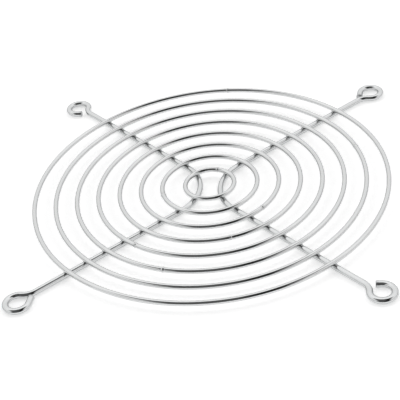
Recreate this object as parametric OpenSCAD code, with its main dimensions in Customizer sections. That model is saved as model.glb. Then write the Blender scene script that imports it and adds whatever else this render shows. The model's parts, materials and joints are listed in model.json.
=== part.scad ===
// Wire fan guard: eight concentric rings welded across two bent ribs.
// The ribs rest on z = 0, the side of the fan, and the rings lie on top of them.
// Each rib is one wire with a screw eye at both ends, and the second rib is
// the first one turned half a turn about Z.

/* [Mounting] */
// Distance between neighbouring screw eyes, centre to centre
eye_pitch = 105; // [100:0.5:116]
// Diameter of the pin that an eye is wound on, which is its clear hole
eye_pin_d = 5; // [4.4:0.1:5.8]
// Depth to which the winding pin flattens the inside of an eye
eye_flat = 0.16; // [0.15:0.01:0.2]

/* [Wire] */
// Diameter of the ring wire
ring_wire_d = 1.6; // [1.2:0.1:2]
// Diameter of the rib wire
rib_wire_d = 2; // [1.6:0.1:2.4]

/* [Rings] */
// Diameter of the largest ring over its wire
guard_d = 115; // [110:0.5:118]
// Distance between neighbouring rings
ring_step = 6.9; // [6.4:0.05:7.2]
// Diameter of the hub ring along the middle of its wire
hub_ring_d = 15.8; // [14.8:0.1:17.4]

/* [Ribs] */
// Clear gap between the two ribs at the hub
hub_gap = 4.6; // [3.4:0.1:5.6]
// Bend radius of a rib at the hub, along the middle of its wire
hub_bend_r = 16; // [12:0.5:19]
// Bend radius where a leg swings out into its eye
neck_bend_r = 5; // [4:0.1:6.5]
// Distance by which a leg's line passes beside the middle of its eye
neck_offset = 0.5; // [0:0.1:0.9]
// Angle that the wire has turned back through where its end runs straight
eye_turn = 222; // [218:1:230]
// Gap between the wire's end and its own leg at a closed eye
closed_gap = 0.1; // [0.05:0.05:0.3]
// Gap between the wire's end and its own leg at an open eye
open_gap = 1; // [0.6:0.1:1.6]

/* [Welds] */
// Depth to which the ring wire is pressed into the rib wire
weld_set = 0.1; // [0.05:0.01:0.2]
// Diameter of the bead squeezed out at each crossing
weld_bead_d = 1.5; // [1.2:0.05:1.6]
// Height of the collar where the two ends of a ring are butt welded
butt_rise = 0.12; // [0.06:0.01:0.2]
// Width of that collar along the wire
butt_w = 0.5; // [0.3:0.05:0.9]

/* [Hidden] */
RING_COUNT = 8;
// Where each ring is butt welded, in degrees from +X
BUTT_ANGLES = [75, 200, 322, 287, 236, 256, 20, 88];
RIB_NAMES = ["rib_left", "rib_right"];
RING_NAMES = [for (i = [1:RING_COUNT]) str("ring_", i)];

STEEL = [0.80, 0.81, 0.83];
$fn = 64;

// Bending swells the wire's radius by this much
BEND_SWELL = 0.01;
// The plain wire reaches this far into the swollen wire beside it
LAP = 0.03;

ring_r = ring_wire_d / 2;
rib_r = rib_wire_d / 2;
swollen_r = rib_r + BEND_SWELL;
guard_r = guard_d / 2 - ring_r;

// Heights of the wires' middle lines
rib_z = rib_r;
ring_z = rib_wire_d - weld_set + ring_r;
weld_z = rib_wire_d - weld_set / 2;

// The right rib's hub bend, whose middle lies on +X
hub_x = hub_gap / 2 + rib_r + hub_bend_r;

// The eye's wire, along its middle line
eye_r = eye_pin_d / 2 + rib_r - eye_flat;
neck_turn = acos((neck_bend_r + neck_offset) / (neck_bend_r + eye_r));
neck_len = (neck_bend_r + eye_r) * sin(neck_turn);
tail_start = eye_turn - 90;

function unit(a) = [cos(a), sin(a)];
function turned(p, a) = [p.x * cos(a) - p.y * sin(a), p.x * sin(a) + p.y * cos(a)];

// Radius of a ring along the middle of its wire, from the hub outwards
function ring_mid_r(i) =
    i == 1 ? hub_ring_d / 2 : guard_r - ring_step * (RING_COUNT - i);

// A leg of the right rib: side is 1 for the leg towards +Y and -1 for the other.
// It leaves the hub bend on a tangent and passes beside its eye's middle.
function eye_at(side) = [eye_pitch / 2, side * eye_pitch / 2];
function leg_angle(side) =
    let (reach = eye_at(side) - [hub_x, 0])
    atan2(reach.y, reach.x) - asin((neck_offset + side * hub_bend_r) / norm(reach));
function leg_start(side) =
    [hub_x, 0] + side * hub_bend_r * unit(leg_angle(side) + 90);

// Where ring i crosses that leg or the half of the hub bend before it
function crossing(i, side) =
    let (r = ring_mid_r(i), start = leg_start(side), way = unit(leg_angle(side)))
    r >= norm(start)
    ? let (along = start * way)
      start + (sqrt(along * along + r * r - start * start) - along) * way
    : let (x = (r * r - hub_bend_r * hub_bend_r + hub_x * hub_x) / (2 * hub_x))
      [x, side * sqrt(r * r - x * x)];

// In an eye's own plane its middle is the origin and the leg arrives along +X.
// The wire's end is cut square, so one corner of the cut comes nearest the leg.
neck_centre = [-neck_len, -neck_offset - neck_bend_r];
function tail_end(t) = eye_r * unit(tail_start) + t * unit(eye_turn);
function tail_corner(t) = tail_end(t) + rib_r * unit(tail_start + 180);
function leg_gap(p) = (p.x < neck_centre.x
    ? p.y + neck_offset
    : norm(p - neck_centre) - neck_bend_r) - rib_r;
// Length of the straight end that leaves the asked gap, by halving the interval
function tail_len(gap, low = 0, high = 2 * eye_r, steps = 24) =
    let (mid = (low + high) / 2)
    steps == 0 ? mid
    : leg_gap(tail_corner(mid)) > gap ? tail_len(gap, mid, high, steps - 1)
    : tail_len(gap, low, mid, steps - 1);

// Straight wire from one point to another, drawn out by lap at both ends
module run(from, to, r, lap = 0) {
    way = to - from;
    translate([from.x, from.y, 0])
        rotate([0, 90, atan2(way.y, way.x)])
            translate([0, 0, -lap])
                cylinder(r = r, h = norm(way) + 2 * lap);
}

// Wire bent about a centre from one angle to another, drawn out in the same way
module bend(centre, bend_r, from, to, r, lap = 0) {
    extra = lap / bend_r * 180 / PI;
    translate([centre.x, centre.y, 0])
        rotate([0, 0, from - extra])
            rotate_extrude(angle = to - from + 2 * extra)
                translate([bend_r, 0])
                    circle(r = r);
}

// A leg's end: the neck swings to the right, the eye winds back to the left
module screw_eye(gap) {
    bend(neck_centre, neck_bend_r, 90 - neck_turn, 90, swollen_r);
    bend([0, 0], eye_r, -90 - neck_turn, tail_start, rib_r, LAP);
    run(tail_end(0), tail_end(tail_len(gap)), swollen_r);
}

module leg(side, gap) {
    angle = leg_angle(side);
    eye = eye_at(side);
    run(leg_start(side), eye + turned([-neck_len, -neck_offset], angle), rib_r, LAP);
    difference() {
        translate([eye.x, eye.y, 0])
            rotate([0, 0, angle])
                screw_eye(gap);
        translate([eye.x, eye.y, -rib_wire_d])
            cylinder(d = eye_pin_d, h = 2 * rib_wire_d);
    }
}

// The right rib's wire about z = 0: closed eye at +Y, open eye at -Y
module rib_wire() {
    upper = leg_angle(1) + 90;
    lower = leg_angle(-1) + 270;
    bend([hub_x, 0], hub_bend_r, upper, lower, swollen_r);
    leg(1, closed_gap);
    leg(-1, open_gap);
}

// A ring's own wire, bent round until its two ends all but meet, with the beads
// that its welds squeeze out
module ring_wire(i) {
    translate([0, 0, ring_z])
        bend([0, 0], ring_mid_r(i), BUTT_ANGLES[i - 1], BUTT_ANGLES[i - 1] + 360, ring_r, -LAP);
    for (turn = [0, 180], side = [-1, 1]) {
        place = turned(crossing(i, side), turn);
        translate([place.x, place.y, weld_z])
            sphere(d = weld_bead_d);
    }
}

// The collar that closes the ring where its two ends are butt welded
module butt_weld(i) {
    rotate([0, 0, BUTT_ANGLES[i - 1]])
        translate([ring_mid_r(i), 0, ring_z])
            rotate([90, 0, 0])
                cylinder(r = ring_r + butt_rise, h = butt_w, center = true);
}

module ring(i) {
    color(STEEL) {
        ring_wire(i);
        butt_weld(i);
    }
}

// A rib seats in the hollows that the ring wires and their beads press into it
module rib(turn) {
    color(STEEL)
        difference() {
            rotate([0, 0, turn])
                translate([0, 0, rib_z])
                    rib_wire();
            for (i = [1:RING_COUNT])
                ring_wire(i);
        }
}

module rib_left() { rib(180); }
module rib_right() { rib(0); }

for (i = [1:RING_COUNT])
    ring(i);
rib_left();
rib_right();
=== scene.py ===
"""Wire fan guard: the plated wires, the stage and the camera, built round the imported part.

Every wire is one surface of two parameters, the distance along its middle line and the
angle round it. Lengths in the code are metres, in the part's own frame.
"""

import json
import math

import bpy
import numpy as np
from mathutils import Matrix, Vector


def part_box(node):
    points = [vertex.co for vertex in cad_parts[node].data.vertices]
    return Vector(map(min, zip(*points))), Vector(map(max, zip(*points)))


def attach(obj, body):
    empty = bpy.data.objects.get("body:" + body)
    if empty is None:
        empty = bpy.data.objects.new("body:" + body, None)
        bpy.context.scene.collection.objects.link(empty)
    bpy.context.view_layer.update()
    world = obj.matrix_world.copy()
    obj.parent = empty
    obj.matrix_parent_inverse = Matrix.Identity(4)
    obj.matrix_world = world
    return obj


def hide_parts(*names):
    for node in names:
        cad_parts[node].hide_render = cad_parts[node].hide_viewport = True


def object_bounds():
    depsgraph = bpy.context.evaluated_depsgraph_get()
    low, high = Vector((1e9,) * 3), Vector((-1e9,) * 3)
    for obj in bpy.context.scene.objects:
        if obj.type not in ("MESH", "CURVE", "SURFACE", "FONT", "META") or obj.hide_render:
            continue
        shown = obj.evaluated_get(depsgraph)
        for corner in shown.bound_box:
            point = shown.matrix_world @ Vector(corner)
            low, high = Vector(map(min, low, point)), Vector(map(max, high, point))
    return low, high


bl_info = {
    "name": "Wire Fan Guard",
    "version": (1, 0, 0),
    "blender": (4, 5, 0),
    "location": "3D View > Sidebar > Fan Guard",
    "description": "Builds the plated wires of a round fan guard and the studio round it",
    "category": "Object",
}

MM = 0.001
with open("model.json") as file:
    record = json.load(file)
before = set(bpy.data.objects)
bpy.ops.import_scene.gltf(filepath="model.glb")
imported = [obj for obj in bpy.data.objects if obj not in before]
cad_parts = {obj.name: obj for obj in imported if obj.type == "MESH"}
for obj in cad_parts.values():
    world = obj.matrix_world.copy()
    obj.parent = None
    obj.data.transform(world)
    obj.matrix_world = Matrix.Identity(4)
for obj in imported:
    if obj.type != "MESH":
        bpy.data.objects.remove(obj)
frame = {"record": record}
CAD_LOW, CAD_HIGH = [list(corner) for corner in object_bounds()]
RECORD = frame["record"]
RING_NAMES = ["ring_%d" % i for i in range(1, 9)]


def node_box(name):
    """A node's lowest and highest corners as one 2 x 3 array."""
    return np.array([list(corner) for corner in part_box(name)])


def screw_pattern():
    """The four-hole mount of the record."""
    return next(m for m in RECORD["mounts"] if m["kind"] == "bolt_pattern")


RING_BOXES = {name: node_box(name) for name in RING_NAMES}
RING_OUTER = {name: float(min(box[1, :2] - box[0, :2])) / 2 for name, box in RING_BOXES.items()}
COLLAR_TOP = float(max(box[1, 2] for box in RING_BOXES.values()))
RIB_LOW = float(node_box("rib_right")[0, 2])
HOLE = screw_pattern()["dims"]

# Spacing of the stations along a wire near its welds and elsewhere, and how far near reaches
RING_STATIONS = (0.11 * MM, 0.62 * MM, 1.7 * MM)
RIB_STATIONS = (0.13 * MM, 0.5 * MM, 1.9 * MM)
# Distances from a rib's ends at which its stations lie close together, in the eye and the neck
EYE_PLACES = (4 * MM, 9 * MM)
# Sides of each wire's section
RING_SIDES = 36
RIB_SIDES = 44
# Samples along a wire for spacing its stations and for finding its crossings
SPACING_SAMPLES = 4001
CROSSING_SAMPLES = 20001
# Repeats that settle the length of an eye's straight end and the height of a fillet
TAIL_HALVINGS = 30
FILLET_PASSES = 14
# Points further off than this many fillets from the other wire are left alone
FILLET_CUT_OFF = 1.2
# Shares of the butt weld's height: its uneven middle, and the groove on each side of it
COLLAR_FILL = 0.77
COLLAR_GROOVE = 0.16

# Depth of the waves in the plating, its darker colour (duller plating at the cut ends, painted shade
# round the welds), and how far the painted shade and the rougher plating reach round a weld
RING_WAVES = 0.006 * MM
RIB_WAVES = 0.009 * MM
RING_HAZE_AND_WELD_SHADE = (0.5, 0.505, 0.51)
RIB_HAZE_AND_WELD_SHADE = (0.45, 0.455, 0.46)
RING_WELD_REACH = 1.15 * MM
RIB_WELD_REACH = 1.25 * MM
# The ribs' plating is a little rougher than the rings'
RIB_ROUGHER = 1.1

# Where the studio's light changes, each from one value to another of a direction of length
# one: its height, its part towards the camera's side, and its part to the left or right
CEILING_HEIGHT = (0.5, 0.95)
HORIZON_HEIGHT = (0.05, 0.28)
NEAR_SIDE = (-0.16, -0.04)
OPENING_WIDTH = (0.555, 0.525)
OPENING_HEIGHT = (0.03, 0.09)
OPENING_FADE = (0.06, 0.26)
CURTAIN_WIDTH = (0.7, 0.63)
# The ceiling, the horizon and the curtains against the walls, and what the opening's left
# half has over its right
CEILING_GAIN = 1.22
HORIZON_GAIN = 0.35
CURTAIN_GAIN = 0.5
OPENING_LIFT = 0.09


# ---------------------------------------------------------------- settings


class FanGuardWireSettings(bpy.types.PropertyGroup):
    ring_wire: bpy.props.FloatProperty(
        name="Ring Wire",
        description="Diameter of the wire that the rings are bent from",
        default=1.6 * MM, min=1.2 * MM, max=2.0 * MM,
        unit="LENGTH", subtype="DISTANCE", precision=5,
    )
    rib_wire: bpy.props.FloatProperty(
        name="Rib Wire",
        description="Diameter of the wire that the two ribs are bent from",
        default=2.0 * MM, min=1.6 * MM, max=2.4 * MM,
        unit="LENGTH", subtype="DISTANCE", precision=5,
    )
    fillet: bpy.props.FloatProperty(
        name="Weld Fillet",
        description="Reach of the smooth fillet where two wires are welded across each other",
        default=0.55 * MM, min=0.2 * MM, max=0.9 * MM,
        unit="LENGTH", subtype="DISTANCE", precision=5,
    )
    butt_rise: bpy.props.FloatProperty(
        name="Butt Weld Rise",
        description="Height of the collar where the two ends of a ring are welded together",
        default=0.12 * MM, min=0.05 * MM, max=0.2 * MM,
        unit="LENGTH", subtype="DISTANCE", precision=5,
    )
    butt_width: bpy.props.FloatProperty(
        name="Butt Weld Width",
        description="Width of that collar along the wire",
        default=0.5 * MM, min=0.3 * MM, max=0.9 * MM,
        unit="LENGTH", subtype="DISTANCE", precision=5,
    )
    butt_places: bpy.props.FloatVectorProperty(
        name="Butt Weld Places",
        description="Angle from +X at which each ring is welded shut, from the hub outwards",
        size=8,
        default=[math.radians(a) for a in (75, 200, 322, 287, 236, 256, 20, 88)],
        unit="ROTATION",
    )


class FanGuardRibSettings(bpy.types.PropertyGroup):
    hub_gap: bpy.props.FloatProperty(
        name="Hub Gap",
        description="Clear gap between the two ribs at the hub",
        default=4.6 * MM, min=3.4 * MM, max=5.6 * MM,
        unit="LENGTH", subtype="DISTANCE", precision=5,
    )
    hub_bend: bpy.props.FloatProperty(
        name="Hub Bend",
        description="Radius of a rib's bend at the hub, along the middle of its wire",
        default=16 * MM, min=12 * MM, max=19 * MM,
        unit="LENGTH", subtype="DISTANCE", precision=5,
    )
    neck_bend: bpy.props.FloatProperty(
        name="Neck Bend",
        description="Radius of the bend that swings a leg out into its eye",
        default=5 * MM, min=4 * MM, max=6.5 * MM,
        unit="LENGTH", subtype="DISTANCE", precision=5,
    )
    neck_offset: bpy.props.FloatProperty(
        name="Neck Offset",
        description="Distance by which a leg's line passes beside the middle of its eye",
        default=0.5 * MM, min=0.0, max=0.9 * MM,
        unit="LENGTH", subtype="DISTANCE", precision=5,
    )
    eye_flat: bpy.props.FloatProperty(
        name="Eye Flat",
        description="Depth to which the winding pin flattens the inside of an eye",
        default=0.04 * MM, min=0.0, max=0.3 * MM,
        unit="LENGTH", subtype="DISTANCE", precision=5,
    )
    eye_spread: bpy.props.FloatProperty(
        name="Eye Spread",
        description="How much wider than the leg the wire is where the eye was wound and pressed",
        default=0.16 * MM, min=0.0, max=0.3 * MM,
        unit="LENGTH", subtype="DISTANCE", precision=5,
    )
    eye_turn: bpy.props.FloatProperty(
        name="Eye Turn",
        description="Angle that the wire has turned back through where its end runs straight",
        default=math.radians(222), min=math.radians(218), max=math.radians(230),
        unit="ROTATION", subtype="ANGLE",
    )
    closed_gap: bpy.props.FloatProperty(
        name="Closed Gap",
        description="Gap between the wire's end and its own leg at a closed eye",
        default=0.1 * MM, min=0.05 * MM, max=0.3 * MM,
        unit="LENGTH", subtype="DISTANCE", precision=5,
    )
    open_gap: bpy.props.FloatProperty(
        name="Open Gap",
        description="Gap between the wire's end and its own leg at an open eye",
        default=1.0 * MM, min=0.6 * MM, max=1.6 * MM,
        unit="LENGTH", subtype="DISTANCE", precision=5,
    )
    end_round: bpy.props.FloatProperty(
        name="End Round",
        description="Rounding of the cut end of the wire by the tumbling before plating",
        default=0.16 * MM, min=0.05 * MM, max=0.4 * MM,
        unit="LENGTH", subtype="DISTANCE", precision=5,
    )


class FanGuardPlatingSettings(bpy.types.PropertyGroup):
    ring_colour: bpy.props.FloatVectorProperty(
        name="Ring Colour",
        description="Colour of the bright plating on the rings",
        default=(0.605, 0.612, 0.613), min=0.0, max=1.0, size=3, subtype="COLOR",
    )
    rib_colour: bpy.props.FloatVectorProperty(
        name="Rib Colour",
        description="Colour of the bright plating on the ribs",
        default=(0.595, 0.604, 0.606), min=0.0, max=1.0, size=3, subtype="COLOR",
    )
    polish: bpy.props.FloatProperty(
        name="Roughness",
        description="Roughness of clean plating away from the welds",
        default=0.1, min=0.02, max=0.5, subtype="FACTOR",
    )
    line_depth: bpy.props.FloatProperty(
        name="Draw Line Depth",
        description="Depth of the fine lines that drawing leaves along the wire",
        default=0.004 * MM, min=0.0, max=0.02 * MM,
        unit="LENGTH", subtype="DISTANCE", precision=6,
    )


class FanGuardStageSettings(bpy.types.PropertyGroup):
    floor_colour: bpy.props.FloatVectorProperty(
        name="Floor Colour",
        description="Colour of the plain floor",
        default=(0.9, 0.9, 0.9), min=0.0, max=1.0, size=3, subtype="COLOR",
    )
    floor_size: bpy.props.FloatProperty(
        name="Floor Size",
        description="Side of the square floor",
        default=4.0, min=1.0, max=8.0, unit="LENGTH", subtype="DISTANCE",
    )
    floor_glow: bpy.props.FloatProperty(
        name="Floor Glow",
        description="Light added to the floor where the camera or the plating looks at it",
        default=0.52, min=0.0, max=1.0, subtype="FACTOR",
    )
    light: bpy.props.FloatProperty(
        name="Light",
        description="Strength of the white studio all round",
        default=1.12, min=0.2, max=2.0,
    )
    dark_side: bpy.props.FloatProperty(
        name="Dark Side",
        description="Strength of the unlit side of the room, where the camera stands",
        default=0.03, min=0.0, max=1.0,
    )
    azimuth: bpy.props.FloatProperty(
        name="Camera Azimuth",
        description="Angle of the camera round the guard, from -Y towards +X",
        default=math.radians(9.28), unit="ROTATION", subtype="ANGLE",
    )
    elevation: bpy.props.FloatProperty(
        name="Camera Elevation",
        description="Angle of the camera above the floor",
        default=math.radians(35.94), unit="ROTATION", subtype="ANGLE",
    )
    distance: bpy.props.FloatProperty(
        name="Camera Distance",
        description="Distance of the camera from the middle of the guard's underside",
        default=0.3641, min=0.1, max=2.0, unit="LENGTH", subtype="DISTANCE",
    )
    aim: bpy.props.FloatVectorProperty(
        name="Camera Aim",
        description="Point on the rings' plane that the camera looks at",
        default=(-2.395 * MM, -8.42 * MM, 2.7 * MM), size=3,
        unit="LENGTH", subtype="XYZ", precision=5,
    )
    roll: bpy.props.FloatProperty(
        name="Camera Roll",
        description="Turn of the camera about its own line of sight",
        default=math.radians(-8.4), unit="ROTATION", subtype="ANGLE",
    )
    lens: bpy.props.FloatProperty(
        name="Lens",
        description="Focal length in millimetres on a 36 mm sensor",
        default=101.84, min=20.0, max=300.0,
    )


# ---------------------------------------------------------------- middle lines


def unit(angle):
    """The horizontal unit vector at that angle from +X."""
    return np.stack([np.cos(angle), np.sin(angle)], -1)


def turned(points, angle):
    """Plane points turned about the origin by that angle."""
    c, s = math.cos(angle), math.sin(angle)
    return np.asarray(points) @ np.array([[c, s], [-s, c]])


class Straight:
    """A straight run of wire from one plane point to another."""

    def __init__(self, start, end):
        self.start, self.end = np.array(start, float), np.array(end, float)
        way = self.end - self.start
        self.length = float(np.hypot(*way))
        self.heading = math.atan2(way[1], way[0])

    def at(self, t):
        """The points and headings at distances t: start plus t times the way."""
        points = self.start + t[:, None] * unit(np.float64(self.heading))
        return points, np.full(t.shape, self.heading)

    def distance(self, points):
        """Distance in the plane from each point to the run, ends included."""
        way = unit(np.float64(self.heading))
        along = np.clip((points - self.start) @ way, 0.0, self.length)
        return np.hypot(*(points - self.start - along[..., None] * way).T).T

    def reversed(self):
        """The same run from its end to its start."""
        return Straight(self.end, self.start)


class Bend:
    """A run of wire bent about a centre, from one angle through a sweep."""

    def __init__(self, centre, radius, start, sweep):
        self.centre, self.radius = np.array(centre, float), radius
        self.start, self.sweep = start, sweep
        self.length = abs(sweep) * radius

    def at(self, t):
        """Centre plus the radius at the start angle plus t over the radius."""
        side = math.copysign(1.0, self.sweep)
        angle = self.start + side * t / self.radius
        return self.centre + self.radius * unit(angle), angle + side * math.pi / 2

    def distance(self, points):
        """Distance in the plane from each point to the arc, ends included."""
        offset = points - self.centre
        middle = self.start + self.sweep / 2
        angle = np.arctan2(offset[..., 1], offset[..., 0]) - middle
        angle = (angle + math.pi) % (2 * math.pi) - math.pi
        half = abs(self.sweep) / 2
        nearest = self.centre + self.radius * unit(middle + np.clip(angle, -half, half))
        return np.hypot(*(points - nearest).T).T

    def reversed(self):
        """The same bend from its end to its start."""
        return Bend(self.centre, self.radius, self.start + self.sweep, -self.sweep)


def walk(runs, s):
    """Points and headings at distances s along a chain of runs, as whole arrays."""
    points = np.zeros((len(s), 2))
    headings = np.zeros(len(s))
    ends = np.cumsum([run.length for run in runs])
    owner = np.clip(np.searchsorted(ends, s, side="right"), 0, len(runs) - 1)
    for number, run in enumerate(runs):
        mine = owner == number
        points[mine], headings[mine] = run.at(s[mine] - (ends[number] - run.length))
    return points, headings


def chain_length(runs):
    """Length of all the runs together."""
    return sum(run.length for run in runs)


def chain_distance(runs, points, height):
    """Distance from each 3-D point to the middle line of a chain at one height."""
    flat = np.min([run.distance(points[:, :2]) for run in runs], axis=0)
    return np.hypot(flat, points[:, 2] - height)


def turned_chain(runs, angle):
    """The same chain turned about Z."""
    made = []
    for run in runs:
        if isinstance(run, Straight):
            made.append(Straight(turned(run.start, angle), turned(run.end, angle)))
        else:
            made.append(Bend(turned(run.centre, angle), run.radius, run.start + angle, run.sweep))
    return made


# ---------------------------------------------------------------- the guard's lay-out


class Layout:
    """Where every middle line runs, worked out from the frame and the settings."""

    def __init__(self, scene):
        wire, rib = scene.fan_guard_wire, scene.fan_guard_rib
        self.ring_r = wire.ring_wire / 2
        self.rib_r = wire.rib_wire / 2
        self.ring_z = COLLAR_TOP - wire.butt_rise - self.ring_r
        self.rib_z = RIB_LOW + self.rib_r
        self.weld_z = (self.ring_z - self.ring_r + self.rib_z + self.rib_r) / 2
        self.radii = [RING_OUTER[name] - self.ring_r for name in RING_NAMES]
        self.bore = HOLE["hole_r_mm"] * MM
        self.eyes = np.array([HOLE["spacing_x_mm"], HOLE["spacing_y_mm"]]) / 2 * MM
        self.rings = [
            [Bend((0, 0), radius, place, 2 * math.pi)]
            for radius, place in zip(self.radii, wire.butt_places)
        ]
        right = self.rib_runs(rib)
        self.ribs = {"rib_right": right, "rib_left": turned_chain(right, math.pi)}
        self.places = {name: self.welds_of(runs) for name, runs in self.ribs.items()}

    def hub_x(self, rib):
        """Distance from the origin to the middle of the right rib's hub bend."""
        return rib.hub_gap / 2 + self.rib_r + rib.hub_bend

    def leg(self, rib, side):
        """One leg from the hub bend to its eye: the heading that is tangent to the bend and
        passes beside the eye's middle, then the runs of leg, neck, eye and straight end."""
        eye_r = self.bore + self.rib_r + rib.eye_spread / 2 - rib.eye_flat
        hub = np.array([self.hub_x(rib), 0.0])
        eye = self.eyes * (1, side)
        reach = eye - hub
        lean = math.asin((rib.neck_offset + side * rib.hub_bend) / np.hypot(*reach))
        heading = math.atan2(reach[1], reach[0]) - lean
        start = hub + side * rib.hub_bend * unit(np.float64(heading + math.pi / 2))
        turn = math.acos((rib.neck_bend + rib.neck_offset) / (rib.neck_bend + eye_r))
        reach_back = (rib.neck_bend + eye_r) * math.sin(turn)
        neck = np.array([-reach_back, -rib.neck_offset - rib.neck_bend])
        quarter = math.pi / 2
        tail_from = eye_r * unit(np.float64(rib.eye_turn - quarter))
        gap = rib.closed_gap if side > 0 else rib.open_gap
        tail = self.tail_length(rib, gap, neck, tail_from)
        tail_to = tail_from + tail * unit(np.float64(rib.eye_turn))
        runs = [
            Straight(start, eye + turned((-reach_back, -rib.neck_offset), heading)),
            Bend(eye + turned(neck, heading), rib.neck_bend, heading + quarter, -turn),
            Bend(eye, eye_r, heading - quarter - turn, rib.eye_turn + turn),
            Straight(eye + turned(tail_from, heading), eye + turned(tail_to, heading)),
        ]
        return heading, runs

    def tail_length(self, rib, gap, neck, tail_from):
        """Length of the straight end that leaves the asked gap to the leg, found by halving."""
        way = unit(np.float64(rib.eye_turn))
        half = self.rib_r + rib.eye_spread / 2
        corner = tail_from + half * unit(np.float64(rib.eye_turn + math.pi / 2))
        low, high = 0.0, 2 * (self.bore + self.rib_r)
        for _ in range(TAIL_HALVINGS):
            middle = (low + high) / 2
            tip = corner + middle * way
            if tip[0] < neck[0]:
                clear = tip[1] + rib.neck_offset - half
            else:
                clear = np.hypot(*(tip - neck)) - rib.neck_bend - half
            low, high = (middle, high) if clear > gap else (low, middle)
        return low

    def rib_runs(self, rib):
        """The right rib from its open end to its closed end: leg, hub bend, leg."""
        low_heading, low = self.leg(rib, -1)
        high_heading, high = self.leg(rib, 1)
        first = low_heading + math.pi * 1.5
        last = high_heading + math.pi * 0.5
        hub = Bend((self.hub_x(rib), 0), rib.hub_bend, first, last - first)
        return [run.reversed() for run in reversed(low)] + [hub] + high

    def welds_of(self, runs):
        """Distances along a rib where its middle line passes over each ring's."""
        s = np.linspace(0, chain_length(runs), CROSSING_SAMPLES)
        points, _ = walk(runs, s)
        reach = np.hypot(points[:, 0], points[:, 1])
        found = []
        for radius in self.radii:
            over = np.nonzero(np.diff(np.sign(reach - radius)))[0]
            found.extend(s[over])
        return np.array(found)

    def weld_points(self, number=None):
        """The places of the welds of one ring, or of all of them."""
        points = np.concatenate(
            [walk(runs, self.places[name])[0] for name, runs in self.ribs.items()]
        )
        if number is not None:
            near = np.abs(np.hypot(points[:, 0], points[:, 1]) - self.radii[number]) < self.ring_r / 2
            points = points[near]
        return np.column_stack([points, np.full(len(points), self.weld_z)])

    def to_ribs(self, points):
        """Distance from each point to the surface of the nearer rib."""
        return np.min(
            [chain_distance(runs, points, self.rib_z) for runs in self.ribs.values()], axis=0
        ) - self.rib_r

    def to_rings(self, points):
        """Distance from each point to the surface of the nearest ring."""
        reach = np.hypot(points[:, 0], points[:, 1])
        flat = np.min([np.abs(reach - radius) for radius in self.radii], axis=0)
        return np.hypot(flat, points[:, 2] - self.ring_z) - self.ring_r


# ---------------------------------------------------------------- wire surfaces


def spread_stations(length, features, fine, coarse, reach):
    """Distances along a wire that lie close together near the features: the running sum
    of one over the wanted spacing, cut into equal steps."""
    s = np.linspace(0.0, length, SPACING_SAMPLES)
    near = np.zeros_like(s)
    for feature in features:
        near = np.maximum(near, np.exp(-(((s - feature) / reach) ** 4)))
    total = np.concatenate([[0.0], np.cumsum(1.0 / (coarse + (fine - coarse) * near[1:]))])
    total *= length / (len(s) - 1)
    return np.interp(np.linspace(0.0, total[-1], int(math.ceil(total[-1])) + 1), total, s)


def fillet_rise(start, normals, reach, other):
    """How far each point moves out along its normal to lie on the smooth union of its own
    wire and the other one: rise = (reach - (gap - rise))^2 / (4 reach), solved by repeating."""
    rise = np.zeros(len(start))
    for _ in range(FILLET_PASSES):
        gap = other(start + rise[:, None] * normals)
        meet = np.clip(gap - rise, 0.0, reach)
        rise = 0.5 * rise + 0.5 * (reach - meet) ** 2 / (4 * reach)
    return rise


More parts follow.
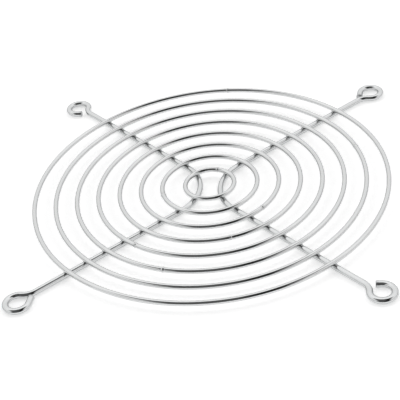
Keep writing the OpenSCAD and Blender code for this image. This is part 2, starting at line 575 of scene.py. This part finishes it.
class WireShape:
    """A round wire's surface on a grid: station i along the wire, step j round it."""

    def __init__(self, runs, height, radius, stations, around, closed, round_end=0.0):
        s = stations
        scale = np.ones(len(stations))
        if not closed:
            s, scale = self.rounded_ends(stations, radius, round_end)
        points, headings = walk(runs, s)
        self.s = s
        self.closed = closed
        self.radius = radius
        self.angle = np.arange(around) * (2 * math.pi / around) - math.pi / 2
        left = np.stack([-np.sin(headings), np.cos(headings), np.zeros_like(s)], -1)
        self.middle = np.column_stack([points, np.full(len(s), height)])
        self.normal = (
            np.cos(self.angle)[None, :, None] * left[:, None, :]
            + np.sin(self.angle)[None, :, None] * np.array([0.0, 0.0, 1.0])
        )
        self.scale = scale
        self.left = left
        self.spread = np.zeros(len(s))
        self.rise = np.zeros((len(s), around))
        self.is_end = scale < 0.999

    def rounded_ends(self, stations, radius, round_end):
        """The same stations with a quarter-round and a flat face added at both ends."""
        turn = np.linspace(0.0, math.pi / 2, 7)
        inset = round_end * (1 - np.sin(turn))
        size = (radius - round_end * (1 - np.cos(turn))) / radius
        flat = np.array([0.75, 0.5, 0.25]) * size[-1]
        length = stations[-1]
        s = np.concatenate([[0, 0, 0], inset[::-1], stations[1:-1], length - inset, [length] * 3])
        scale = np.concatenate(
            [flat[::-1], size[::-1], np.ones(len(stations) - 2), size, flat]
        )
        keep = np.ones(len(s), bool)
        first = len(flat) + len(turn)
        body = slice(first, first + len(stations) - 2)
        keep[body] = (s[body] > round_end * 1.2) & (s[body] < length - round_end * 1.2)
        return s[keep], scale[keep]

    def points(self):
        """Middle line plus the normal times the radius, the end rounding and the rise, then
        drawn out sideways by half the spread times the cosine of the angle."""
        reach = self.radius * self.scale[:, None] + self.rise
        sideways = (self.spread * self.scale / 2)[:, None] * np.cos(self.angle)
        return (
            self.middle[:, None, :]
            + reach[..., None] * self.normal
            + sideways[..., None] * self.left[:, None, :]
        )

    def add_spread(self, runs, spread):
        """Widens the wire round the eyes: the full spread over the straight end and the eye,
        easing out over the neck as a smooth step."""
        ends = np.cumsum([run.length for run in runs])
        for off, eye_end, neck_end in (
            (self.s, ends[1], ends[2]),
            (self.s[-1] - self.s, ends[-1] - ends[-3], ends[-1] - ends[-4]),
        ):
            t = np.clip((neck_end - off) / (neck_end - eye_end), 0.0, 1.0)
            self.spread += spread * t * t * (3 - 2 * t)

    def add_fillet(self, reach, other, cut_off):
        """Swells the wire into the wires that it is welded across."""
        base = self.points().reshape(-1, 3)
        normals = self.normal.reshape(-1, 3)
        near = (other(base) < cut_off) & np.repeat(~self.is_end, self.normal.shape[1])
        rise = np.zeros(len(base))
        rise[near] = fillet_rise(base[near], normals[near], reach, other)
        self.rise += rise.reshape(self.rise.shape)

    def add_collar(self, place, height, width, seed):
        """A welded collar: the height falls off as a rounded step from its middle, a little
        uneven round the wire, with a shallow groove on each side of it."""
        length = self.s[-1]
        off = np.abs(self.s - place)
        off = np.minimum(off, length - off)[:, None]
        uneven = 1 + 0.18 * np.sin(self.angle * 2 + seed) + 0.1 * np.sin(self.angle * 5 + 2 * seed)
        step = 1 / (1 + (off / (width / 2)) ** 6)
        groove = np.exp(-(((off - width * 0.95) / (width * 0.28)) ** 2))
        self.rise += height * (COLLAR_FILL * step * uneven[None, :] - COLLAR_GROOVE * groove)

    def mesh(self, name, flatten=None):
        """The grid as a mesh, with its open ends closed by one middle point each."""
        points = self.points()
        if flatten is not None:
            points = flatten(points)
        rows, around = points.shape[:2]
        verts = points.reshape(-1, 3)
        if self.closed:
            verts = points[:-1].reshape(-1, 3)
            rows -= 1
        i = np.arange(rows if self.closed else rows - 1)
        j = np.arange(around)
        a = (i[:, None] * around + j[None, :]).ravel()
        b = (i[:, None] * around + (j[None, :] + 1) % around).ravel()
        step = ((i[:, None] + 1) % rows) * around
        c = (step + (j[None, :] + 1) % around).ravel()
        d = (step + j[None, :]).ravel()
        quads = np.stack([a, b, c, d], -1)
        caps = np.zeros((0, 3), int)
        if not self.closed:
            ends = np.array([points[0].mean(0), points[-1].mean(0)])
            first, last = len(verts), len(verts) + 1
            verts = np.concatenate([verts, ends])
            nxt = (j + 1) % around
            row = (rows - 1) * around
            caps = np.concatenate([
                np.stack([np.full(around, first), nxt, j], -1),
                np.stack([np.full(around, last), row + j, row + nxt], -1),
            ])
        mesh = bpy.data.meshes.new(name)
        loops = np.concatenate([quads.ravel(), caps.ravel()])
        sizes = np.concatenate([np.full(len(quads), 4), np.full(len(caps), 3)])
        mesh.vertices.add(len(verts))
        mesh.vertices.foreach_set("co", verts.astype(np.float32).ravel())
        mesh.loops.add(len(loops))
        mesh.loops.foreach_set("vertex_index", loops.astype(np.int32))
        mesh.polygons.add(len(sizes))
        mesh.polygons.foreach_set("loop_start", (np.cumsum(sizes) - sizes).astype(np.int32))
        mesh.update(calc_edges=True)
        mesh.validate()
        self.write_attributes(mesh, verts, quads, caps, rows, around)
        return mesh

    def write_attributes(self, mesh, verts, quads, caps, rows, around):
        """Per corner: the place on the straightened wire, in millimetres, so that a pattern
        follows the wire. Per point: how near a cut end is."""
        s = self.s / MM
        i = np.repeat(np.arange(len(quads) // around), around)
        along = np.stack([s[i], s[i], s[i + 1], s[i + 1]], -1).ravel()
        j = np.tile(np.arange(around), len(quads) // around)
        turn = 2 * math.pi / around
        beside = (np.stack([j, j + 1, j + 1, j], -1) * turn - math.pi / 2).ravel()
        size = self.radius / MM
        wire = np.stack([along, size * np.cos(beside), size * np.sin(beside)], -1)
        if len(caps):
            j = np.arange(around)
            rim = self.angle
            zero = np.zeros(around)
            for place, one, two in ((s[0], np.roll(rim, -1), rim), (s[-1], rim, np.roll(rim, -1))):
                corners = np.stack([
                    np.stack([zero + place, zero, zero], -1),
                    np.stack([zero + place, 0.25 * size * np.cos(one), 0.25 * size * np.sin(one)], -1),
                    np.stack([zero + place, 0.25 * size * np.cos(two), 0.25 * size * np.sin(two)], -1),
                ], 1)
                wire = np.concatenate([wire, corners.reshape(-1, 3)])
        layer = mesh.attributes.new("wire_place", "FLOAT_VECTOR", "CORNER")
        layer.data.foreach_set("vector", wire.astype(np.float32).ravel())
        uv = mesh.uv_layers.new(name="Straightened")
        flat = np.concatenate([
            np.stack([along / 20, (beside + math.pi / 2) * size / 20], -1),
            np.zeros((3 * len(caps), 2)),
        ])
        uv.data.foreach_set("uv", flat.astype(np.float32).ravel())
        cut = np.zeros(len(verts), np.float32)
        if not self.closed:
            off = np.minimum(self.s, self.s[-1] - self.s)
            mask = np.where(self.is_end, 1.0, np.exp(-((off / (0.6 * MM)) ** 2)))
            cut[: rows * around] = np.repeat(mask, around)
            cut[rows * around:] = 1.0
        mesh.attributes.new("cut_end", "FLOAT", "POINT").data.foreach_set("value", cut)


def write_weld_mask(mesh, points, reach):
    """Per point: how near the nearest weld is, as a bell curve of the distance."""
    co = np.zeros(len(mesh.vertices) * 3, np.float32)
    mesh.vertices.foreach_get("co", co)
    co = co.reshape(-1, 3)
    mask = np.zeros(len(co))
    for point in points:
        mask = np.maximum(mask, np.exp(-((np.linalg.norm(co - point, axis=1) / reach) ** 2)))
    mesh.attributes.new("weld", "FLOAT", "POINT").data.foreach_set("value", mask.astype(np.float32))


def place_piece(name, mesh, material, node):
    """Puts a wire in the scene in place of its CAD node."""
    mesh.shade_smooth()
    mesh.materials.append(material)
    piece = bpy.data.objects.new(name, mesh)
    bpy.context.scene.collection.objects.link(piece)
    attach(piece, "root")
    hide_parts(node)
    return piece


# ---------------------------------------------------------------- materials


def add_node(tree, kind, inputs=None, **settings):
    """A shader node with its settings and the values of its named sockets."""
    made = tree.nodes.new(kind)
    for name, value in settings.items():
        setattr(made, name, value)
    for name, value in (inputs or {}).items():
        made.inputs[name].default_value = value
    return made


def new_group(name, inputs, outputs):
    """An empty node group with its sockets, or None with the group if it is made already."""
    if name in bpy.data.node_groups:
        return None, bpy.data.node_groups[name]
    group = bpy.data.node_groups.new(name, "ShaderNodeTree")
    for label, kind, value in inputs:
        socket = group.interface.new_socket(name=label, in_out="INPUT", socket_type=kind)
        if value is not None:
            socket.default_value = value
    for label, kind in outputs:
        group.interface.new_socket(name=label, in_out="OUTPUT", socket_type=kind)
    return group, group


def drawn_wire_group():
    """Fine lines along the wire from a noise stretched twenty times along it, and the soft
    waviness of thick plating from a round one. Puts out a mask and a height in metres."""
    group, ready = new_group(
        "Drawn Wire",
        [
            ("Wire Place", "NodeSocketVector", None),
            ("Line Depth", "NodeSocketFloat", 0.004 * MM),
            ("Waviness", "NodeSocketFloat", 0.006 * MM),
        ],
        [("Lines", "NodeSocketFloat"), ("Height", "NodeSocketFloat")],
    )
    if group is None:
        return ready
    link = group.links.new
    come = add_node(group, "NodeGroupInput")
    go = add_node(group, "NodeGroupOutput")
    stretch = add_node(group, "ShaderNodeMapping", {"Scale": (0.12, 5.0, 5.0)})
    lines = add_node(
        group, "ShaderNodeTexNoise", {"Scale": 1.0, "Detail": 4.0, "Roughness": 0.62}
    )
    gentle = add_node(group, "ShaderNodeMapping", {"Scale": (0.45, 1.1, 1.1)})
    waves = add_node(group, "ShaderNodeTexNoise", {"Scale": 1.0, "Detail": 2.0, "Roughness": 0.45})
    deep = add_node(group, "ShaderNodeMath", operation="MULTIPLY")
    wavy = add_node(group, "ShaderNodeMath", operation="MULTIPLY")
    total = add_node(group, "ShaderNodeMath", operation="ADD")
    link(come.outputs["Wire Place"], stretch.inputs["Vector"])
    link(come.outputs["Wire Place"], gentle.inputs["Vector"])
    link(stretch.outputs["Vector"], lines.inputs["Vector"])
    link(gentle.outputs["Vector"], waves.inputs["Vector"])
    link(lines.outputs["Fac"], deep.inputs[0])
    link(come.outputs["Line Depth"], deep.inputs[1])
    link(waves.outputs["Fac"], wavy.inputs[0])
    link(come.outputs["Waviness"], wavy.inputs[1])
    link(deep.outputs[0], total.inputs[0])
    link(wavy.outputs[0], total.inputs[1])
    link(lines.outputs["Fac"], go.inputs["Lines"])
    link(total.outputs[0], go.inputs["Height"])
    return group


def plating_haze_and_weld_shade_group():
    """Where plating is rougher: broken patches round the welds, the sheared ends, and faint handling
    marks. In the tint, the patches round the welds are painted shade where the wires cross, and the
    sheared ends are duller plating. Puts out a mask for the tint and a roughness."""
    group, ready = new_group(
        "Plating Haze",
        [
            ("Weld", "NodeSocketFloat", 0.0),
            ("Cut End", "NodeSocketFloat", 0.0),
            ("Lines", "NodeSocketFloat", 0.5),
            ("Clean Roughness", "NodeSocketFloat", 0.1),
            ("Weld Roughness", "NodeSocketFloat", 0.22),
            ("End Roughness", "NodeSocketFloat", 0.3),
        ],
        [("Haze And Weld Shade", "NodeSocketFloat"), ("Roughness", "NodeSocketFloat")],
    )
    if group is None:
        return ready
    link = group.links.new
    come = add_node(group, "NodeGroupInput")
    go = add_node(group, "NodeGroupOutput")
    where = add_node(group, "ShaderNodeTexCoord")
    patches = add_node(
        group, "ShaderNodeTexNoise", {"Scale": 900.0, "Detail": 3.0, "Roughness": 0.6}
    )
    marks = add_node(group, "ShaderNodeTexNoise", {"Scale": 70.0, "Detail": 3.0, "Roughness": 0.55})
    broken = add_node(
        group, "ShaderNodeMapRange",
        {"From Min": 0.3, "From Max": 0.65, "To Min": 0.35, "To Max": 1.0},
    )
    # Nearness to a weld in broken patches: painted shade of the crossings in the tint, and rougher
    # plating
    dull_and_shade = add_node(group, "ShaderNodeMath", operation="MULTIPLY")
    either = add_node(group, "ShaderNodeMath", operation="MAXIMUM")
    smudge = add_node(
        group, "ShaderNodeMapRange",
        {"From Min": 0.45, "From Max": 0.75, "To Min": 0.0, "To Max": 0.05},
    )
    grain = add_node(
        group, "ShaderNodeMapRange",
        {"From Min": 0.3, "From Max": 0.7, "To Min": -0.02, "To Max": 0.04},
    )
    clean = add_node(group, "ShaderNodeMath", operation="ADD")
    cleaner = add_node(group, "ShaderNodeMath", operation="ADD")
    welded = add_node(group, "ShaderNodeMix", data_type="FLOAT")
    ended = add_node(group, "ShaderNodeMix", data_type="FLOAT")
    link(where.outputs["Object"], patches.inputs["Vector"])
    link(where.outputs["Object"], marks.inputs["Vector"])
    link(patches.outputs["Fac"], broken.inputs["Value"])
    link(come.outputs["Weld"], dull_and_shade.inputs[0])
    link(broken.outputs["Result"], dull_and_shade.inputs[1])
    link(dull_and_shade.outputs[0], either.inputs[0])
    link(come.outputs["Cut End"], either.inputs[1])
    link(marks.outputs["Fac"], smudge.inputs["Value"])
    link(come.outputs["Lines"], grain.inputs["Value"])
    link(come.outputs["Clean Roughness"], clean.inputs[0])
    link(smudge.outputs["Result"], clean.inputs[1])
    link(clean.outputs[0], cleaner.inputs[0])
    link(grain.outputs["Result"], cleaner.inputs[1])
    link(dull_and_shade.outputs[0], welded.inputs["Factor"])
    link(cleaner.outputs[0], welded.inputs["A"])
    link(come.outputs["Weld Roughness"], welded.inputs["B"])
    link(come.outputs["Cut End"], ended.inputs["Factor"])
    link(welded.outputs["Result"], ended.inputs["A"])
    link(come.outputs["End Roughness"], ended.inputs["B"])
    link(either.outputs[0], go.inputs["Haze And Weld Shade"])
    link(ended.outputs["Result"], go.inputs["Roughness"])
    return group


def plated_material(name, colour, haze_and_weld_shade_colour, roughness, line_depth, waviness):
    """Bright plating on drawn wire: lines along it, waves in the plate, rougher plating and painted
    shade at the welds.
    """
    material = bpy.data.materials.new(name)
    material.use_nodes = True
    tree = material.node_tree
    tree.nodes.clear()
    link = tree.links.new
    out = add_node(tree, "ShaderNodeOutputMaterial")
    shader = add_node(tree, "ShaderNodeBsdfPrincipled", {"Metallic": 1.0, "IOR": 2.5})
    place = add_node(tree, "ShaderNodeAttribute", attribute_name="wire_place")
    weld = add_node(tree, "ShaderNodeAttribute", attribute_name="weld")
    cut = add_node(tree, "ShaderNodeAttribute", attribute_name="cut_end")
    drawn = add_node(tree, "ShaderNodeGroup", node_tree=drawn_wire_group())
    drawn.inputs["Line Depth"].default_value = line_depth
    drawn.inputs["Waviness"].default_value = waviness
    haze_and_shade = add_node(tree, "ShaderNodeGroup", node_tree=plating_haze_and_weld_shade_group())
    haze_and_shade.inputs["Clean Roughness"].default_value = roughness
    tint = add_node(tree, "ShaderNodeMix", data_type="RGBA")
    # The second, darker colour is painted shade round the welds and duller plating at the cut ends
    tint.inputs[6].default_value = (*colour, 1.0)
    tint.inputs[7].default_value = (*haze_and_weld_shade_colour, 1.0)
    bump = add_node(tree, "ShaderNodeBump", {"Strength": 1.0, "Distance": 1.0})
    link(place.outputs["Vector"], drawn.inputs["Wire Place"])
    link(weld.outputs["Fac"], haze_and_shade.inputs["Weld"])
    link(cut.outputs["Fac"], haze_and_shade.inputs["Cut End"])
    link(drawn.outputs["Lines"], haze_and_shade.inputs["Lines"])
    link(haze_and_shade.outputs["Haze And Weld Shade"], tint.inputs["Factor"])
    link(tint.outputs[2], shader.inputs["Base Color"])
    link(haze_and_shade.outputs["Roughness"], shader.inputs["Roughness"])
    link(drawn.outputs["Height"], bump.inputs["Height"])
    link(bump.outputs["Normal"], shader.inputs["Normal"])
    link(shader.outputs["BSDF"], out.inputs["Surface"])
    return material


# ---------------------------------------------------------------- operators


class FANGUARD_OT_rings(bpy.types.Operator):
    """Build the eight rings, each a wire bent round, butt welded shut and welded to the ribs"""

    bl_idname = "fan_guard.rings"
    bl_label = "Build Rings"

    def execute(self, context):
        scene = context.scene
        wire, plating = scene.fan_guard_wire, scene.fan_guard_plating
        layout = Layout(scene)
        material = plated_material(
            "Ring Wire Plating", plating.ring_colour, RING_HAZE_AND_WELD_SHADE,
            plating.polish, plating.line_depth, RING_WAVES,
        )
        for number, name in enumerate(RING_NAMES):
            runs = layout.rings[number]
            length = chain_length(runs)
            welds = layout.weld_points(number)
            turn = np.arctan2(welds[:, 1], welds[:, 0]) - wire.butt_places[number]
            features = list((turn % (2 * math.pi)) * layout.radii[number]) + [0.0, length]
            stations = spread_stations(length, features, *RING_STATIONS)
            shape = WireShape(runs, layout.ring_z, layout.ring_r, stations, RING_SIDES, True)
            shape.add_fillet(wire.fillet, layout.to_ribs, wire.fillet * FILLET_CUT_OFF)
            shape.add_collar(0.0, wire.butt_rise, wire.butt_width, 1.3 * number)
            mesh = shape.mesh("plated_" + name)
            butt = layout.radii[number] * unit(np.float64(wire.butt_places[number]))
            write_weld_mask(mesh, [*welds, np.array([*butt, layout.ring_z])], RING_WELD_REACH)
            place_piece("plated_" + name, mesh, material, name)
        return {"FINISHED"}


class FANGUARD_OT_ribs(bpy.types.Operator):
    """Build the two ribs, each one wire with a hub bend, two legs and a screw eye at each end"""

    bl_idname = "fan_guard.ribs"
    bl_label = "Build Ribs"

    def execute(self, context):
        scene = context.scene
        wire, rib, plating = scene.fan_guard_wire, scene.fan_guard_rib, scene.fan_guard_plating
        layout = Layout(scene)
        material = plated_material(
            "Rib Wire Plating", plating.rib_colour, RIB_HAZE_AND_WELD_SHADE,
            plating.polish * RIB_ROUGHER, plating.line_depth, RIB_WAVES,
        )
        for name, runs in layout.ribs.items():
            length = chain_length(runs)
            features = [*layout.places[name], *EYE_PLACES]
            features += [length - place for place in EYE_PLACES]
            stations = spread_stations(length, features, *RIB_STATIONS)
            shape = WireShape(
                runs, layout.rib_z, layout.rib_r, stations, RIB_SIDES, False, rib.end_round
            )
            shape.add_fillet(wire.fillet, layout.to_rings, wire.fillet * FILLET_CUT_OFF)
            shape.add_spread(runs, rib.eye_spread)
            mesh = shape.mesh("plated_" + name, self.pin_flattener(layout))
            write_weld_mask(mesh, layout.weld_points(), RIB_WELD_REACH)
            place_piece("plated_" + name, mesh, material, name)
        return {"FINISHED"}

    def pin_flattener(self, layout):
        """Pushes whatever lies inside a screw hole out to the hole's wall, along the line
        from the hole's axis."""
        def flatten(points):
            for side_x in (-1, 1):
                for side_y in (-1, 1):
                    axis = layout.eyes * (side_x, side_y)
                    off = points[..., :2] - axis
                    reach = np.maximum(np.hypot(off[..., 0], off[..., 1]), 1e-9)
                    grow = np.maximum(layout.bore / reach, 1.0)
                    inside = reach < layout.bore
                    points[..., :2] = np.where(
                        inside[..., None], axis + off * grow[..., None], points[..., :2]
                    )
            return points
        return flatten


class FANGUARD_OT_stage(bpy.types.Operator):
    """Build the floor, the white studio with its unlit camera side, and the camera"""

    bl_idname = "fan_guard.stage"
    bl_label = "Build Stage"

    def execute(self, context):
        scene = context.scene
        stage = scene.fan_guard_stage
        self.add_floor(scene, stage)
        self.add_world(scene, stage)
        self.add_camera(scene, stage)
        scene.view_settings.view_transform = "Standard"
        return {"FINISHED"}

    def add_floor(self, scene, stage):
        """A plain square under the guard that keeps its shadow and reads as white."""
        half = stage.floor_size / 2
        low = CAD_LOW[2]
        mesh = bpy.data.meshes.new("floor")
        corners = [(-half, -half, low), (half, -half, low), (half, half, low), (-half, half, low)]
        mesh.from_pydata(corners, [], [(0, 1, 2, 3)])
        material = bpy.data.materials.new("Pale Floor")
        material.use_nodes = True
        tree = material.node_tree
        tree.nodes.clear()
        link = tree.links.new
        out = add_node(tree, "ShaderNodeOutputMaterial")
        paint = add_node(
            tree, "ShaderNodeBsdfDiffuse", {"Color": (*stage.floor_colour, 1.0), "Roughness": 0.5}
        )
        rays = add_node(tree, "ShaderNodeLightPath")
        seen = add_node(tree, "ShaderNodeMath", operation="MAXIMUM")
        seen_too = add_node(tree, "ShaderNodeMath", operation="MAXIMUM")
        strength = add_node(
            tree, "ShaderNodeMath", {1: stage.floor_glow}, operation="MULTIPLY"
        )
        glow = add_node(tree, "ShaderNodeEmission")
        both = add_node(tree, "ShaderNodeAddShader")
        link(rays.outputs["Is Camera Ray"], seen.inputs[0])
        link(rays.outputs["Is Glossy Ray"], seen.inputs[1])
        link(seen.outputs[0], seen_too.inputs[0])
        link(rays.outputs["Is Transmission Ray"], seen_too.inputs[1])
        link(seen_too.outputs[0], strength.inputs[0])
        link(strength.outputs[0], glow.inputs["Strength"])
        link(paint.outputs["BSDF"], both.inputs[0])
        link(glow.outputs["Emission"], both.inputs[1])
        link(both.outputs["Shader"], out.inputs["Surface"])
        mesh.materials.append(material)
        floor = bpy.data.objects.new("floor", mesh)
        scene.collection.objects.link(floor)

    def add_world(self, scene, stage):
        """White all round and dimmer along the horizon, with an unlit opening on the camera's
        side that reaches overhead and a grey curtain on each side of it. The camera itself
        sees plain white."""
        world = bpy.data.worlds.new("Studio")
        scene.world = world
        world.use_nodes = True
        tree = world.node_tree
        tree.nodes.clear()
        link = tree.links.new
        out = add_node(tree, "ShaderNodeOutputWorld")
        way = add_node(tree, "ShaderNodeTexCoord")
        split = add_node(tree, "ShaderNodeSeparateXYZ")
        link(way.outputs["Generated"], split.inputs["Vector"])

        towards = (math.sin(stage.azimuth), -math.cos(stage.azimuth), 0.0)
        beside = (math.cos(stage.azimuth), math.sin(stage.azimuth), 0.0)
        ahead = add_node(tree, "ShaderNodeVectorMath", {1: towards}, operation="DOT_PRODUCT")
        across = add_node(tree, "ShaderNodeVectorMath", {1: beside}, operation="DOT_PRODUCT")
        off = add_node(tree, "ShaderNodeMath", operation="ABSOLUTE")
        link(way.outputs["Generated"], ahead.inputs[0])
        link(way.outputs["Generated"], across.inputs[0])
        link(across.outputs["Value"], off.inputs[0])

        def step(source, low, high, before=0.0, after=1.0):
            """A smooth step of a direction's value from before, at low, to after, at high."""
            made = add_node(
                tree, "ShaderNodeMapRange",
                {"From Min": low, "From Max": high, "To Min": before, "To Max": after},
                interpolation_type="SMOOTHSTEP",
            )
            link(source, made.inputs["Value"])
            return made.outputs["Result"]

        def times(first, second):
            made = add_node(tree, "ShaderNodeMath", operation="MULTIPLY")
            link(first, made.inputs[0])
            link(second, made.inputs[1])
            return made.outputs[0]

        def blend(factor, first, second):
            made = add_node(tree, "ShaderNodeMix", data_type="FLOAT")
            link(factor, made.inputs["Factor"])
            link(first, made.inputs["A"])
            link(second, made.inputs["B"])
            return made.outputs["Result"]

        height, facing = split.outputs["Z"], ahead.outputs["Value"]
        aside = off.outputs[0]
        walls = step(height, *CEILING_HEIGHT, stage.light, stage.light * CEILING_GAIN)
        lit = times(walls, step(height, *HORIZON_HEIGHT, HORIZON_GAIN, 1.0))
        near_side = step(facing, *NEAR_SIDE)
        opening = times(
            times(near_side, step(aside, *OPENING_WIDTH)), step(height, *OPENING_HEIGHT)
        )
        curtain = times(near_side, step(aside, *CURTAIN_WIDTH))
        unlit = step(
            across.outputs["Value"], *OPENING_FADE, stage.dark_side + OPENING_LIFT, stage.dark_side
        )
        grey = add_node(tree, "ShaderNodeMath", {1: CURTAIN_GAIN}, operation="MULTIPLY")
        link(lit, grey.inputs[0])
        room = blend(opening, blend(curtain, lit, grey.outputs[0]), unlit)

        rays = add_node(tree, "ShaderNodeLightPath")
        seen = add_node(tree, "ShaderNodeMix", data_type="FLOAT")
        link(rays.outputs["Is Camera Ray"], seen.inputs["Factor"])
        link(room, seen.inputs["A"])
        seen.inputs["B"].default_value = 1.0
        sky = add_node(tree, "ShaderNodeBackground", {"Color": (1.0, 1.0, 1.0, 1.0)})
        link(seen.outputs["Result"], sky.inputs["Strength"])
        link(sky.outputs["Background"], out.inputs["Surface"])

    def add_camera(self, scene, stage):
        """The camera on its sphere round the guard, looking at the aim and turned by the roll."""
        data = bpy.data.cameras.new("camera")
        camera = bpy.data.objects.new("camera", data)
        scene.collection.objects.link(camera)
        level = stage.distance * math.cos(stage.elevation)
        place = Vector((
            level * math.sin(stage.azimuth),
            -level * math.cos(stage.azimuth),
            stage.distance * math.sin(stage.elevation),
        ))
        look = (Vector(stage.aim) - place).to_track_quat("-Z", "Y").to_matrix()
        camera.matrix_world = Matrix.Translation(place) @ (
            look @ Matrix.Rotation(stage.roll, 3, "Z")
        ).to_4x4()
        data.sensor_width = 36.0
        data.lens = stage.lens
        data.clip_start = 0.01
        data.clip_end = 20.0
        scene.camera = camera


class FANGUARD_PT_panel(bpy.types.Panel):
    """The settings of each group of pieces, and the buttons that build them"""

    bl_idname = "FANGUARD_PT_panel"
    bl_label = "Fan Guard"
    bl_space_type = "VIEW_3D"
    bl_region_type = "UI"
    bl_category = "Fan Guard"

    def draw(self, context):
        for settings, operator in (
            (context.scene.fan_guard_wire, "fan_guard.rings"),
            (context.scene.fan_guard_rib, "fan_guard.ribs"),
            (context.scene.fan_guard_plating, None),
            (context.scene.fan_guard_stage, "fan_guard.stage"),
        ):
            box = self.layout.box()
            for name in settings.__annotations__:
                box.prop(settings, name)
            if operator:
                box.operator(operator)


SETTINGS = {
    "fan_guard_wire": FanGuardWireSettings,
    "fan_guard_rib": FanGuardRibSettings,
    "fan_guard_plating": FanGuardPlatingSettings,
    "fan_guard_stage": FanGuardStageSettings,
}
CLASSES = (*SETTINGS.values(), FANGUARD_OT_rings, FANGUARD_OT_ribs, FANGUARD_OT_stage,
           FANGUARD_PT_panel)


def register():
    for cls in CLASSES:
        bpy.utils.register_class(cls)
    for name, cls in SETTINGS.items():
        setattr(bpy.types.Scene, name, bpy.props.PointerProperty(type=cls))


def unregister():
    for name in SETTINGS:
        delattr(bpy.types.Scene, name)
    for cls in reversed(CLASSES):
        bpy.utils.unregister_class(cls)


def main():
    register()
    bpy.ops.fan_guard.rings()
    bpy.ops.fan_guard.ribs()
    bpy.ops.fan_guard.stage()


if __name__ == "__main__":
    main()
